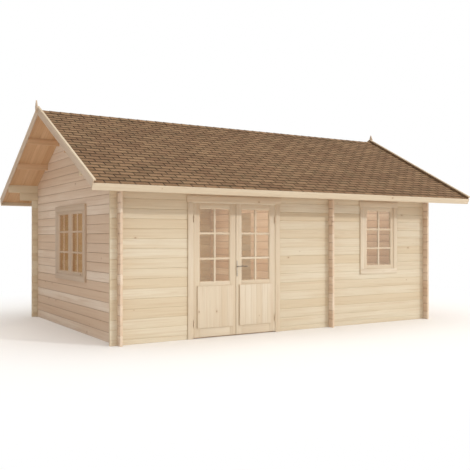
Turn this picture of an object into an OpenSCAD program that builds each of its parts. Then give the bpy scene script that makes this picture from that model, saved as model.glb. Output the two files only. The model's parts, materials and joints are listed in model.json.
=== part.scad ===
/* [Walls] */
// Length of the building between the outer faces of the gable walls
wall_w = 5670; // [5200:10:6600]
// Depth of the building between the outer faces of the front and back walls
wall_d = 3820; // [3400:10:4600]
// Thickness of a wall log
log_t = 35; // [32:1:45]
// Height of one log course
course = 133; // [126:1:140]
// Full courses in a wall below the roof
wall_courses = 17; // [16:1:19]
// How far the log ends stand past the crossing wall
log_end = 100; // [70:1:140]
// Reach of the corbel log under the wall plate past the gable wall
corbel_reach = 305; // [160:1:400]
// Distance from the left gable's outer face to the partition
partition_x = 3529; // [3300:1:3700]
// Groove left between the courses on each face of a wall
log_chamfer = 4; // [2:0.5:6]
// Width of the tongue on top of a log
tongue_w = 11; // [8:1:14]
// Height of the tongue on top of a log
tongue_h = 8; // [5:1:12]

/* [Roof] */
// Slope of the roof in degrees
roof_pitch = 27.5; // [25:0.5:30]
// How far the barge boards stand past the gable walls
gable_overhang = 522; // [440:1:600]
// Level distance from the wall to the foot of the roof boards
eave_overhang = 505; // [400:1:560]
// Thickness of the roof boards
roof_board_t = 18; // [16:1:24]
// Thickness of the shingle covering
covering_t = 8; // [6:1:12]
// Width of each flap of the ridge cap
ridge_flap = 120; // [80:1:160]
// Width of a purlin
purlin_w = 45; // [40:1:70]
// Depth of a purlin under the roof boards
purlin_h = 85; // [70:1:120]
// Level distance from the ridge to the upper purlins
purlin_upper = 625; // [560:5:700]
// Level distance from the ridge to the lower purlins
purlin_lower = 1277; // [1200:5:1350]
// Thickness of the barge boards and fascias
edge_board_t = 20; // [16:1:26]
// Width of a barge board's face
barge_h = 93; // [80:1:110]
// How far a barge board hangs below the roof boards
barge_drop = 33; // [20:1:60]
// Thickness of the strip on top of a barge board
strip_t = 18; // [12:1:24]
// Width of the strip on top of a barge board
strip_w = 32; // [26:1:60]
// How far a fascia hangs below the roof boards
fascia_drop = 62; // [40:1:80]
// Width of a finial
finial_w = 80; // [60:1:120]
// Height of a finial
finial_h = 190; // [150:1:240]
// Length of a finial's point
finial_point = 92; // [60:1:100]
// How far a finial stands above the barge boards
finial_rise = 84; // [50:1:110]

/* [Door] */
// Distance from the left gable's outer face to the middle of the door
door_x = 1806; // [1400:1:2300]
// Width of one door leaf
leaf_w = 681; // [620:1:760]
// Thickness of a door leaf
leaf_t = 40; // [36:1:50]
// Width of a leaf's stiles
stile_w = 95; // [80:1:110]
// Height of a leaf's top rail
top_rail_h = 76; // [60:1:110]
// Height of a leaf's middle rail
mid_rail_h = 57; // [50:1:100]
// Height of a leaf's bottom rail
bottom_rail_h = 130; // [100:1:150]
// Height of the boarded panel in a leaf
panel_h = 584; // [500:1:660]
// How far the boarded panel stands proud of its leaf
panel_rise = 20; // [8:1:24]
// How far the boarded panel laps the stiles and rails round it
panel_lap = 42; // [15:1:60]
// Courses cut through by the doorway
door_courses = 14; // [13:1:14]
// Height of a leaf above the ground
leaf_lift = 15; // [10:1:30]
// Height of the lower hinges above the ground
low_hinge_z = 212; // [150:1:300]
// Height of the upper hinges above the ground
high_hinge_z = 1670; // [1550:1:1720]
// Length of a hinge barrel
hinge_len = 96; // [80:2:120]
// Radius of a hinge barrel
hinge_r = 7; // [6:0.5:9]
// Height of the door handle above the ground
handle_z = 995; // [900:1:1100]
// Length of the door handle's lever
lever_len = 155; // [100:1:180]

/* [Windows] */
// How far the middle of the front window is to the right of the middle of its room
front_window_x = -8; // [-250:1:250]
// Height of the head of the front window's sash above the ground
front_window_z = 1909; // [1860:0.5:1940]
// Width of the front window's sash
front_sash_w = 654; // [560:1:700]
// Height of the front window's sash
front_sash_h = 1018; // [900:1:1040]
// Width of the stiles and rails of the front window's sash
front_sash_face = 60; // [40:1:75]
// Height of the gable window's sashes above the ground
gable_window_z = 836; // [800:1:880]
// Width of each sash of the gable window
sash_w = 610; // [540:1:640]
// Height of the gable window's sashes
sash_h = 985; // [900:1:990]
// Width of the stiles and rails of the gable window's sashes
sash_face = 47; // [40:1:56]
// Thickness of a sash
sash_t = 36; // [30:1:44]
// Width of the post between the gable window's sashes
mullion_w = 40; // [36:1:70]
// Thickness of the casing boards round the gable window
gable_casing_t = 32; // [18:1:36]
// Thickness of the glass
glass_t = 4; // [3:0.5:6]

/* [Trim and floor] */
// Width of the casing boards round the door and windows
casing_w = 82; // [70:1:96]
// Edge of the door frame left bare beside the casing
casing_reveal = 4; // [2:0.5:8]
// Height of the head casing over the door and the front window
head_casing_h = 92; // [80:1:110]
// Thickness of the casing boards round the door and the front window
casing_t = 18; // [14:1:22]
// Thickness of the frames in the door and window openings
frame_t = 25; // [20:1:32]
// Height of the floor joists
joist_h = 40; // [36:1:60]
// Width of the floor joists
joist_w = 60; // [45:1:80]
// Joists under the floor of the main room
main_joists = 6; // [4:1:8]
// Joists under the floor of the side room
side_joists = 4; // [3:1:6]
// Thickness of the floor boards
floor_t = 20; // [18:1:28]
// Width of the doorway in the partition
inner_door_w = 750; // [650:1:850]
// Distance from the front wall's outer face to the partition's doorway
inner_door_y = 2260; // [2000:1:2300]

/* [Fits] */
// Gap between the beds of two courses
bed_gap = 0.3; // [0.2:0.1:0.6]
// Gap at each side of a log in a notch
notch_gap = 0.5; // [0.3:0.1:1]
// Gap between pieces seated on each other
seat_gap = 0.3; // [0.2:0.1:0.6]
// Gap left round a frame in its opening
frame_gap = 3; // [2:0.5:6]
// Gap round a door leaf
leaf_gap = 5; // [5:0.5:8]
// Gap between the two door leaves
meeting_gap = 8; // [7:0.5:12]

/* [Hidden] */
$fn = 48;

// Finishes as the photograph shows them
lit_wood = "#e2d2b2";
shade_wood = "#c9ac86";
trim_wood = "#e6d3b0";
soffit_wood = "#b98d62";
shingle_brown = "#8a7056";
hinge_grey = "#5b5650";
handle_grey = "#8d8c88";
pane_tint = "#b79a8a80";

// Half sizes, wall centre lines and levels
half_w = wall_w / 2;
half_d = wall_d / 2;
gable_x = half_w - log_t / 2;
long_y = half_d - log_t / 2;
part_x = partition_x + log_t / 2 - half_w;
crossings = [-gable_x, part_x, gable_x];
plate_z = (wall_courses + 0.5) * course;
apex_z = plate_z + (half_d - log_t) * tan(roof_pitch);
floor_z = joist_h + floor_t;
cut = 1;

// Roof measured along the slope from the apex and square to it
eave_q = (half_d + eave_overhang) / cos(roof_pitch);
covering_n = roof_board_t + covering_t;
barge_top_n = barge_h - barge_drop;
strip_top_n = barge_top_n + strip_t;
barge_face_x = half_w + gable_overhang;
roof_end_x = barge_face_x - edge_board_t - seat_gap;
finial_tip_z = apex_z + strip_top_n / cos(roof_pitch) + finial_rise;

// Door levels and places
door_c = door_x - half_w;
doorway_z = (door_courses + 0.5) * course;
head_z = doorway_z - frame_gap - frame_t;
leaf_h = head_z - leaf_gap - leaf_lift;
door_in_w = 2 * leaf_w + meeting_gap + 2 * leaf_gap;
doorway_w = door_in_w + 2 * frame_t + 2 * frame_gap;
panel_z = leaf_lift + bottom_rail_h;
glass_z = panel_z + panel_h + mid_rail_h;
light_w = leaf_w - 2 * stile_w;
light_h = leaf_lift + leaf_h - top_rail_h - glass_z;
leaf_front = casing_t / 2;
panel_inset = 3;

// Hinges: barrels in front of the casing, pins in them, and plates in the gap beside a leaf
hinge_clear = 1;
hinge_y = -half_d - casing_t - hinge_r - hinge_clear;
hinge_x = door_in_w / 2 - leaf_gap / 2;
hinge_bore_r = 4;
pin_gap = 0.05;
pin_short = 6;
plate_back = 22;
plate_y = hinge_r + hinge_clear + casing_t + plate_back;
plate_t = leaf_gap / 2 - 1.5 * seat_gap;

// Window opening sizes
front_window_c = (part_x + gable_x) / 2 + front_window_x;
front_sash_z = front_window_z - front_sash_h;
pair_w = 2 * sash_w + mullion_w;
around = frame_t + frame_gap;
sash_inset = casing_t / 2;
gable_sash_front = gable_casing_t - sash_inset;

// Strip on the right leaf's meeting edge, and the handle on it
strip_face = 30;
strip_depth = 7;
spindle_r = 7;
spindle_gap = 1;
lever_r = 6;
lever_out = 45;
backplate_t = 6;
backplate_w = 22;
backplate_h = 230;
backplate_below = 146;
handle_x = door_c + (meeting_gap + strip_face) / 2;

// Section of a log: chamfered edges, a tongue above and a groove below
module log_section(h, tongue, groove) {
    c = log_chamfer;
    e = log_t / 2;
    difference() {
        polygon([[-e, c], [-e, h - c], [c - e, h], [e - c, h], [e, h - c], [e, c], [e - c, 0], [c - e, 0]]);
        if (groove) translate([-tongue_w / 2 - notch_gap, -cut])
            square([tongue_w + 2 * notch_gap, tongue_h + 2 * cut]);
    }
    if (tongue) translate([-tongue_w / 2, h - cut]) square([tongue_w, tongue_h + cut]);
}

// Solid under both roof slopes
module under_roof() {
    far = half_d + eave_overhang;
    low = plate_z - 3 * course;
    drop = far * tan(roof_pitch);
    yz(-2 * half_w, 2 * half_w)
        polygon([[-far, low], [far, low], [far, apex_z - drop - seat_gap], [0, apex_z - seat_gap],
            [-far, apex_z - drop - seat_gap]]);
}

// Extrusion along X of an outline drawn in Y and Z
module yz(x0, x1) {
    translate([x0, 0, 0]) rotate([90, 0, 90]) linear_extrude(x1 - x0) children();
}

// Extrusion along Y of an outline drawn in X and Z
module xz(y0, y1) {
    translate([0, y1, 0]) rotate([90, 0, 0]) linear_extrude(y1 - y0) children();
}

// A log along X, notched where the gable walls and the partition cross it
module long_log(k, x0, x1, y) {
    mid = k * course;
    low = k == 0 ? 0 : mid - course / 2 + bed_gap / 2;
    high = mid + course / 2 - bed_gap / 2;
    neck = course / 4 - bed_gap / 2;
    notch_w = log_t + 2 * notch_gap;
    difference() {
        yz(x0, x1) translate([y, low]) log_section(high - low, k < wall_courses, k > 0);
        for (x = crossings) translate([x - notch_w / 2, y - log_t, 0]) {
            if (k > 0) translate([0, 0, low - cut]) cube([notch_w, 2 * log_t, mid - neck - low + cut]);
            if (k < wall_courses) translate([0, 0, mid + neck]) cube([notch_w, 2 * log_t, course]);
        }
    }
}

// A log along Y, notched where the front and back walls cross it
module cross_log(j, y0, y1, x) {
    mid = (j + 0.5) * course;
    low = j == 0 ? 0 : j * course + bed_gap / 2;
    high = (j + 1) * course - bed_gap / 2;
    neck = course / 4 - bed_gap / 2;
    notch_w = log_t + 2 * notch_gap;
    difference() {
        xz(y0, y1) translate([x, low]) log_section(high - low, true, j > 0);
        for (y = [-long_y, long_y]) translate([x - log_t, y - notch_w / 2, 0]) {
            translate([0, 0, low - cut]) cube([2 * log_t, notch_w, mid - neck - low + cut]);
            translate([0, 0, mid + neck]) cube([2 * log_t, notch_w, course]);
        }
    }
}

// Reach of a long wall's log past the gable walls
function long_reach(k) = half_w + (k == wall_courses ? gable_overhang - edge_board_t - seat_gap
    : k == wall_courses - 1 ? corbel_reach : log_end);

// Box cut out of a wall for a door or window, with its foot at z
module wall_opening(w, h, z) {
    translate([-w / 2, -2 * log_t, z]) cube([w, 5 * log_t, h]);
}

module at_front(x) {
    translate([x, -half_d, 0]) children();
}

module at_left_gable() {
    translate([-half_w, 0, 0]) rotate([0, 0, -90]) children();
}

module front_wall_left() {
    color(lit_wood) for (k = [0 : door_courses])
        long_log(k, -long_reach(k), door_c - doorway_w / 2, -long_y);
}

// Opening for the front window, running on past its head by the height given
module front_window_opening(past) {
    at_front(front_window_c)
        wall_opening(front_sash_w + 2 * around, front_sash_h + 2 * around + past, front_sash_z - around);
}

module front_wall_right() {
    color(lit_wood) difference() {
        for (k = [0 : door_courses]) long_log(k, door_c + doorway_w / 2, long_reach(k), -long_y);
        front_window_opening(tongue_h + cut);
    }
}

module front_wall_top() {
    color(lit_wood) difference() {
        long_wall_top(-long_y);
        front_window_opening(0);
    }
}

module long_wall_top(y) {
    for (k = [door_courses + 1 : wall_courses - 1]) long_log(k, -long_reach(k), long_reach(k), y);
    intersection() {
        long_log(wall_courses, -long_reach(wall_courses), long_reach(wall_courses), y);
        under_roof();
    }
}

module back_wall() {
    color(lit_wood) {
        for (k = [0 : door_courses]) long_log(k, -long_reach(k), long_reach(k), long_y);
        long_wall_top(long_y);
    }
}

module cross_wall(x) {
    reach = half_d + log_end;
    for (j = [0 : wall_courses - 2]) cross_log(j, -reach, reach, x);
    intersection() {
        cross_log(wall_courses - 1, -reach, reach, x);
        under_roof();
    }
}

module left_gable_wall() {
    color(shade_wood) difference() {
        cross_wall(-gable_x);
        at_left_gable()
            wall_opening(pair_w + 2 * around, sash_h + 2 * around, gable_window_z - around);
    }
}

module right_gable_wall() {
    color(shade_wood) cross_wall(gable_x);
}

// Logs of the triangle under the roof, with passages for the purlins
module gable_peak(x) {
    inner = half_d - log_t - notch_gap;
    last = ceil(apex_z / course) - 1;
    difference() {
        intersection() {
            for (j = [wall_courses : last]) xz(-inner, inner) translate([x, j * course + bed_gap / 2])
                log_section(course - bed_gap, true, true);
            under_roof();
        }
        for (y = [-purlin_lower, -purlin_upper, 0, purlin_upper, purlin_lower])
            purlin(y, purlin_w + 2 * notch_gap, purlin_h + seat_gap, purlin_h, -2 * half_w, 2 * half_w);
    }
}

module left_gable_peak() {
    color(shade_wood) gable_peak(-gable_x);
}

module right_gable_peak() {
    color(shade_wood) gable_peak(gable_x);
}

module partition_wall() {
    sill_c = inner_door_y - half_d + inner_door_w / 2;
    color(shade_wood) difference() {
        cross_wall(part_x);
        translate([part_x - 2 * log_t, sill_c - inner_door_w / 2, -cut])
            cube([4 * log_t, inner_door_w, door_courses * course + cut]);
    }
}

module partition_sill() {
    color(lit_wood) translate([part_x - log_t / 2, inner_door_y - half_d + seat_gap, 0])
        cube([log_t, inner_door_w - 2 * seat_gap, floor_z]);
}

// Floor of a room between two level places along X
main_x0 = log_t - half_w + notch_gap;
main_x1 = part_x - log_t / 2 - notch_gap;
side_x0 = part_x + log_t / 2 + notch_gap;
side_x1 = half_w - log_t - notch_gap;
floor_y = half_d - log_t - notch_gap;

module joist_row(x0, x1, count) {
    front = stop_back + notch_gap - half_d;
    for (i = [0 : count - 1]) translate([x0 + (x1 - x0 - joist_w) * i / (count - 1), front, 0])
        cube([joist_w, floor_y - front, joist_h]);
}

module floor_joists() {
    color(soffit_wood) {
        joist_row(main_x0, main_x1, main_joists);
        joist_row(side_x0, side_x1, side_joists);
    }
}

module floor_boards(x0, x1) {
    translate([x0, -floor_y, joist_h]) cube([x1 - x0, 2 * floor_y, floor_t]);
}

module main_room_floor() {
    color(lit_wood) difference() {
        floor_boards(main_x0, main_x1);
        at_front(door_c) translate([-doorway_w / 2, log_t - cut, 0])
            cube([doorway_w, stop_back - log_t + notch_gap + cut, course]);
    }
}

module side_room_floor() {
    color(lit_wood) floor_boards(side_x0, side_x1);
}

// Beam under the roof boards at a level distance from the ridge
module purlin(y, w, below, above, x0, x1) {
    a = y - w / 2;
    b = y + w / 2;
    low = apex_z - abs(y) * tan(roof_pitch) - below;
    yz(x0, x1) polygon(concat([[a, low], [b, low], [b, top_z(b, above - purlin_h)]],
        y == 0 ? [[0, top_z(0, above - purlin_h)]] : [], [[a, top_z(a, above - purlin_h)]]));
}

function top_z(y, rise) = apex_z - abs(y) * tan(roof_pitch) - seat_gap + rise;

module seated_purlin(y) {
    purlin(y, purlin_w, purlin_h, purlin_h, -roof_end_x, roof_end_x);
}

module ridge_purlin() {
    color(soffit_wood) seated_purlin(0);
}

module front_purlins() {
    color(soffit_wood) for (y = [-purlin_upper, -purlin_lower]) seated_purlin(y);
}

module rear_purlins() {
    color(soffit_wood) for (y = [purlin_upper, purlin_lower]) seated_purlin(y);
}

// Point in Y and Z at a distance down the front slope and a height square to it
function slope_point(q, n) = [-q * cos(roof_pitch) - n * sin(roof_pitch),
    apex_z - q * sin(roof_pitch) + n * cos(roof_pitch)];

// Point on the ridge line of a layer, half a gap short of the other slope
function ridge_point(n) = [-seat_gap / 2, apex_z + n / cos(roof_pitch) - seat_gap / 2 * tan(roof_pitch)];

// Layer on the front slope from the ridge down to the distance q
module slope_layer(x0, x1, q, n0, n1) {
    yz(x0, x1) polygon([ridge_point(n0), slope_point(q, n0), slope_point(q, n1), ridge_point(n1)]);
}

module rear() {
    mirror([0, 1, 0]) children();
}

module right_end() {
    mirror([1, 0, 0]) children();
}

module roof_boards() {
    slope_layer(-roof_end_x, roof_end_x, eave_q, 0, roof_board_t);
}

module front_roof_boards() {
    color(soffit_wood) roof_boards();
}

module rear_roof_boards() {
    color(soffit_wood) rear() roof_boards();
}

module shingles() {
    slope_layer(-roof_end_x, roof_end_x, eave_q, roof_board_t, covering_n);
}

module front_shingles() {
    color(shingle_brown) shingles();
}

module rear_shingles() {
    color(shingle_brown) rear() shingles();
}

module ridge_flaps() {
    slope_layer(-roof_end_x, roof_end_x, ridge_flap, covering_n, covering_n + covering_t);
}

module ridge_cap() {
    color(shingle_brown) {
        ridge_flaps();
        rear() ridge_flaps();
    }
}

module barge_pair() {
    barge_board();
    rear() barge_board();
}

module barge_board() {
    slope_layer(-barge_face_x, edge_board_t - barge_face_x, eave_q, -barge_drop, barge_top_n);
}

module left_barge_boards() {
    color(trim_wood) barge_pair();
}

module right_barge_boards() {
    color(trim_wood) right_end() barge_pair();
}

module strip_pair() {
    barge_strip();
    rear() barge_strip();
}

module barge_strip() {
    slope_layer(-barge_face_x, strip_w - barge_face_x, eave_q + edge_board_t, barge_top_n, strip_top_n);
}

module left_barge_strips() {
    color(trim_wood) strip_pair();
}

module right_barge_strips() {
    color(trim_wood) right_end() strip_pair();
}

module fascia() {
    near = eave_q + seat_gap;
    far = eave_q + edge_board_t;
    yz(-barge_face_x, barge_face_x) polygon([slope_point(near, -fascia_drop), slope_point(far, -fascia_drop),
        slope_point(far, covering_n), slope_point(near, covering_n)]);
}

module front_fascia() {
    color(trim_wood) fascia();
}

module rear_fascia() {
    color(trim_wood) rear() fascia();
}

// Pointed board on the outer face of the barge boards
module finial() {
    low = finial_tip_z - finial_h;
    foot = finial_point / 2;
    shoulder = finial_tip_z - finial_point;
    half = finial_w / 2;
    yz(-barge_face_x - edge_board_t, -barge_face_x) polygon([[0, low], [half, low + foot], [half, shoulder],
        [0, finial_tip_z], [-half, shoulder], [-half, low + foot]]);
}

module left_finial() {
    color(trim_wood) finial();
}

module right_finial() {
    color(trim_wood) right_end() finial();
}

// Depth of the door frame behind the wall's outer face, and of the stops behind the leaves
frame_back = log_t + 2 * casing_t;
stop_front = leaf_t - leaf_front + leaf_gap;
stop_back = frame_back;
stop_w = 20;

module door_frame() {
    color(trim_wood) at_front(door_c) {
        for (s = [-1, 1]) translate([s * (door_in_w + frame_t) / 2 - frame_t / 2, 0, 0])
            cube([frame_t, frame_back, head_z - seat_gap]);
        translate([-door_in_w / 2 - frame_t, 0, head_z]) cube([door_in_w + 2 * frame_t, frame_back, frame_t]);
    }
}

// Strips behind the leaves that they close against
module door_stops() {
    color(trim_wood) at_front(door_c) {
        for (s = [-1, 1])
            translate([s * (door_in_w - stop_w) / 2 - stop_w / 2, stop_front, floor_z + seat_gap])
                cube([stop_w, stop_back - stop_front, head_z - floor_z - stop_w - 2 * seat_gap]);
        translate([-door_in_w / 2 + seat_gap, stop_front, head_z - stop_w])
            cube([door_in_w - 2 * seat_gap, stop_back - stop_front, stop_w]);
    }
}

module door_threshold() {
    color(soffit_wood) at_front(door_c) translate([-door_in_w / 2 + seat_gap, stop_front, 0])
        cube([door_in_w - 2 * seat_gap, stop_back - stop_front, floor_z]);
}

module door_casing() {
    clear_w = door_in_w + 2 * casing_reveal;
    color(trim_wood) at_front(door_c) translate([0, -casing_t, 0]) {
        for (s = [-1, 1]) translate([s * (clear_w + casing_w) / 2 - casing_w / 2, 0, 0])
            cube([casing_w, casing_t, head_z + casing_reveal - seat_gap]);
        translate([-clear_w / 2 - casing_w - casing_t, 0, head_z + casing_reveal])
            cube([clear_w + 2 * casing_w + 2 * casing_t, casing_t, head_casing_h]);
    }
}

// Lower half of a hinge, its plate on the frame's inner face, with the pin that carries the upper half
module frame_hinge() {
    half = hinge_len / 2 - seat_gap / 2;
    translate([0, 0, -hinge_len / 2]) {
        cylinder(r = hinge_r, h = half);
        cylinder(r = hinge_bore_r, h = hinge_len - pin_short);
        translate([seat_gap - leaf_gap / 2, 0, 0]) cube([plate_t, plate_y, half]);
    }
}

// Upper half of a hinge, its plate on the edge of a leaf
module leaf_hinge() {
    half = hinge_len / 2 - seat_gap / 2;
    difference() {
        translate([0, 0, seat_gap / 2]) {
            cylinder(r = hinge_r, h = half);
            translate([seat_gap / 2, 0, 0]) cube([plate_t, plate_y, half]);
        }
        translate([0, 0, -cut])
            cylinder(r = hinge_bore_r + pin_gap, h = hinge_len / 2 - pin_short / 2 + 2 * cut);
    }
}

module hinges_at(side) {
    for (z = [low_hinge_z, high_hinge_z]) translate([door_c + side * hinge_x, hinge_y, z])
        mirror([side > 0 ? 1 : 0, 0, 0]) children();
}

module frame_hinges() {
    color(hinge_grey) for (side = [-1, 1]) hinges_at(side) frame_hinge();
}

module left_leaf_hinges() {
    color(hinge_grey) hinges_at(-1) leaf_hinge();
}

module right_leaf_hinges() {
    color(hinge_grey) hinges_at(1) leaf_hinge();
}

// Places a piece of a leaf: the origin is the leaf's front face, lower hinge corner on the meeting side
module on_leaf(side) {
    at_front(door_c + side * (leaf_w + meeting_gap) / 2) translate([-leaf_w / 2, -leaf_front, 0]) children();
}

module leaf() {
    difference() {
        translate([0, 0, leaf_lift]) cube([leaf_w, leaf_t, leaf_h]);
        translate([stile_w, -cut, panel_z + panel_lap])
            cube([light_w, leaf_t + 2 * cut, panel_h - 2 * panel_lap]);
        translate([stile_w, -cut, glass_z]) cube([light_w, leaf_t + 2 * cut, light_h]);
    }
}

// Boards in the lower opening of a leaf, with a face that laps the wood round it
module leaf_panel() {
    back = leaf_t - panel_inset;
    translate([stile_w - panel_lap, -panel_rise, panel_z])
        cube([light_w + 2 * panel_lap, panel_rise - seat_gap, panel_h]);
    translate([stile_w + seat_gap, -seat_gap - cut, panel_z + panel_lap + seat_gap])
        cube([light_w - 2 * seat_gap, seat_gap + cut + back, panel_h - 2 * panel_lap - 2 * seat_gap]);
}

module leaf_glass() {
    translate([stile_w + seat_gap, (leaf_t - glass_t) / 2, glass_z + seat_gap])
        cube([light_w - 2 * seat_gap, glass_t, light_h - 2 * seat_gap]);
}

module left_door_leaf() {
    color(trim_wood) on_leaf(-1) leaf();
}

module left_door_panel() {
    color(lit_wood) on_leaf(-1) leaf_panel();
}

module left_door_glass() {
    color(pane_tint) on_leaf(-1) leaf_glass();
}

// Hole for the handle's spindle through the right leaf, its meeting strip and its plates
module spindle_hole() {
    translate([handle_x, 0, handle_z]) rotate([90, 0, 0]) cylinder(r = spindle_r + spindle_gap, h = wall_d);
}

module right_door_leaf() {
    color(trim_wood) difference() {
        on_leaf(1) leaf();
        spindle_hole();
    }
}

module right_door_panel() {
    color(lit_wood) on_leaf(1) leaf_panel();
}

module right_door_glass() {
    color(pane_tint) on_leaf(1) leaf_glass();
}

module meeting_strip() {
    color(trim_wood) difference() {
        on_leaf(1) translate([0, -strip_depth, leaf_lift]) cube([strip_face, strip_depth, leaf_h]);
        spindle_hole();
    }
}

// Plates round the handle's spindle, one on the meeting strip and one inside
module handle_plates() {
    y = -half_d - leaf_front;
    color(handle_grey) difference() {
        for (face = [y - strip_depth - backplate_t, y + leaf_t])
            translate([handle_x - backplate_w / 2, face, handle_z - backplate_below])
                cube([backplate_w, backplate_t, backplate_h]);
        spindle_hole();
    }
}

module door_handle() {
    y = -half_d - leaf_front;
    front = y - lever_out;
    back = y + leaf_t + lever_out;
    color(handle_grey) translate([handle_x, 0, handle_z]) {
        translate([0, back + lever_r, 0]) rotate([90, 0, 0])
            cylinder(r = spindle_r, h = back - front + 2 * lever_r);
        for (at = [front, back]) translate([0, at, 0]) rotate([0, 90, 0])
            cylinder(r = lever_r, h = lever_len);
    }
}

// Window pieces stand on the wall's outer face with X along the wall, to the right from outside
module window_ring(w, h, face, y0, y1, z) {
    difference() {
        translate([-w / 2, y0, z]) cube([w, y1 - y0, h]);
        translate([face - w / 2, y0 - cut, z + face]) cube([w - 2 * face, y1 - y0 + 2 * cut, h - 2 * face]);
    }
}

module window_frame(w, h, z) {
    window_ring(w + 2 * frame_t, h + 2 * frame_t, frame_t, 0, log_t + casing_t, z - frame_t);
}

// Casing boards round an opening, the side boards standing between the sill board and the head board
module window_casing(w, h, z, depth, head_h, head_reach) {
    translate([0, -depth, 0]) {
        for (s = [-1, 1]) translate([s * (w + casing_w) / 2 - casing_w / 2, 0, z + seat_gap])
            cube([casing_w, depth, h - 2 * seat_gap]);
        translate([-w / 2 - casing_w, 0, z - casing_w]) cube([w + 2 * casing_w, depth, casing_w]);
        translate([-w / 2 - casing_w - head_reach, 0, z + h])
            cube([w + 2 * casing_w + 2 * head_reach, depth, head_h]);
    }
}

// Sash whose face stands past the wall by the distance front
module sash(w, h, face, front, z) {
    window_ring(w - 2 * seat_gap, h - 2 * seat_gap, face, -front, sash_t - front, z + seat_gap);
}

// Glass in the middle of such a sash
module pane(w, h, face, front, z) {
    in_w = w - 2 * face - 4 * seat_gap;
    in_h = h - 2 * face - 4 * seat_gap;
    translate([-in_w / 2, (sash_t - glass_t) / 2 - front, z + face + 2 * seat_gap])
        cube([in_w, glass_t, in_h]);
}

module front_window_frame() {
    color(trim_wood) at_front(front_window_c) window_frame(front_sash_w, front_sash_h, front_sash_z);
}

module front_window_casing() {
    color(trim_wood) at_front(front_window_c)
        window_casing(front_sash_w, front_sash_h, front_sash_z, casing_t, head_casing_h, casing_t);
}

module front_window_sash() {
    color(trim_wood) at_front(front_window_c)
        sash(front_sash_w, front_sash_h, front_sash_face, sash_inset, front_sash_z);
}

module front_window_glass() {
    color(pane_tint) at_front(front_window_c)
        pane(front_sash_w, front_sash_h, front_sash_face, sash_inset, front_sash_z);
}

module gable_window_frame() {
    color(trim_wood) at_left_gable() {
        window_frame(pair_w, sash_h, gable_window_z);
        translate([-mullion_w / 2, -gable_sash_front, gable_window_z])
            cube([mullion_w, gable_sash_front + log_t + casing_t, sash_h]);
    }
}

module gable_window_casing() {
    color(trim_wood) at_left_gable()
        window_casing(pair_w, sash_h, gable_window_z, gable_casing_t, casing_w, 0);
}

// Places a piece in each half of the gable window
module in_gable_halves() {
    at_left_gable() for (s = [-1, 1]) translate([s * (sash_w + mullion_w) / 2, 0, 0]) children();
}

module gable_window_sashes() {
    color(trim_wood) in_gable_halves() sash(sash_w, sash_h, sash_face, gable_sash_front, gable_window_z);
}

module gable_window_glass() {
    color(pane_tint) in_gable_halves() pane(sash_w, sash_h, sash_face, gable_sash_front, gable_window_z);
}

front_wall_left();
front_wall_right();
front_wall_top();
back_wall();
left_gable_wall();
right_gable_wall();
left_gable_peak();
right_gable_peak();
partition_wall();
partition_sill();
floor_joists();
main_room_floor();
side_room_floor();
ridge_purlin();
front_purlins();
rear_purlins();
front_roof_boards();
rear_roof_boards();
front_shingles();
rear_shingles();
ridge_cap();
left_barge_boards();
right_barge_boards();
left_barge_strips();
right_barge_strips();
front_fascia();
rear_fascia();
left_finial();
right_finial();
door_frame();
door_stops();
door_threshold();
door_casing();
frame_hinges();
left_door_leaf();
left_door_panel();
left_door_glass();
left_leaf_hinges();
right_door_leaf();
right_door_panel();
right_door_glass();
right_leaf_hinges();
meeting_strip();
handle_plates();
door_handle();
front_window_frame();
front_window_casing();
front_window_sash();
front_window_glass();
gable_window_frame();
gable_window_casing();
gable_window_sashes();
gable_window_glass();
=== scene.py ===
"""Log garden chalet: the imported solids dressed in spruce, shingles, glass and metal."""
import json
import math
import random

import bmesh
import bpy
from mathutils import Matrix, Vector


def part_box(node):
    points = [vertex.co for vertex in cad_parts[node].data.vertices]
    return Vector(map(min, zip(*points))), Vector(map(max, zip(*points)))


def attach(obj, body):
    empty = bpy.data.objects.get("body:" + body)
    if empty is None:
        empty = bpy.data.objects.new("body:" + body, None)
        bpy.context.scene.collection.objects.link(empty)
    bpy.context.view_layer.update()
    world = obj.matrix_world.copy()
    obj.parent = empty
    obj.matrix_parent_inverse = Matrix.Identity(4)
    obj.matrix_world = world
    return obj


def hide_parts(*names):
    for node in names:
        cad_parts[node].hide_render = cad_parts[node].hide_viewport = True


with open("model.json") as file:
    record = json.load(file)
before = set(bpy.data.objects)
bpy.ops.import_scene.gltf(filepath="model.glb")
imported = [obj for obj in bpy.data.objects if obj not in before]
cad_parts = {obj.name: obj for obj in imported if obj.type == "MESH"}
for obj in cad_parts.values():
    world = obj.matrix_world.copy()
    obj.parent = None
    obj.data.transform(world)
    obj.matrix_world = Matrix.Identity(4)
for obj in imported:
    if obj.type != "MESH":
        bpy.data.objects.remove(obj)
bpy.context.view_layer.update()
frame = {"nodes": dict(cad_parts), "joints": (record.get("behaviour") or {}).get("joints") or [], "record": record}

NODES = frame["nodes"]
BODY_OF = {node: body for body, nodes in frame["record"]["behaviour"]["bodies"].items() for node in nodes}
JOINTS = {joint["name"]: Vector(joint["pos_m"]) for joint in frame["joints"]}

# Camera of the photograph, found from the walls' edges
CAMERA_AT = (-6.1233, -10.1987, 1.4199)
CAMERA_YAW = 31.54
CAMERA_PITCH = 0.157
LENS_MM = 51.64
SENSOR_MM = 36.0

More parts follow.
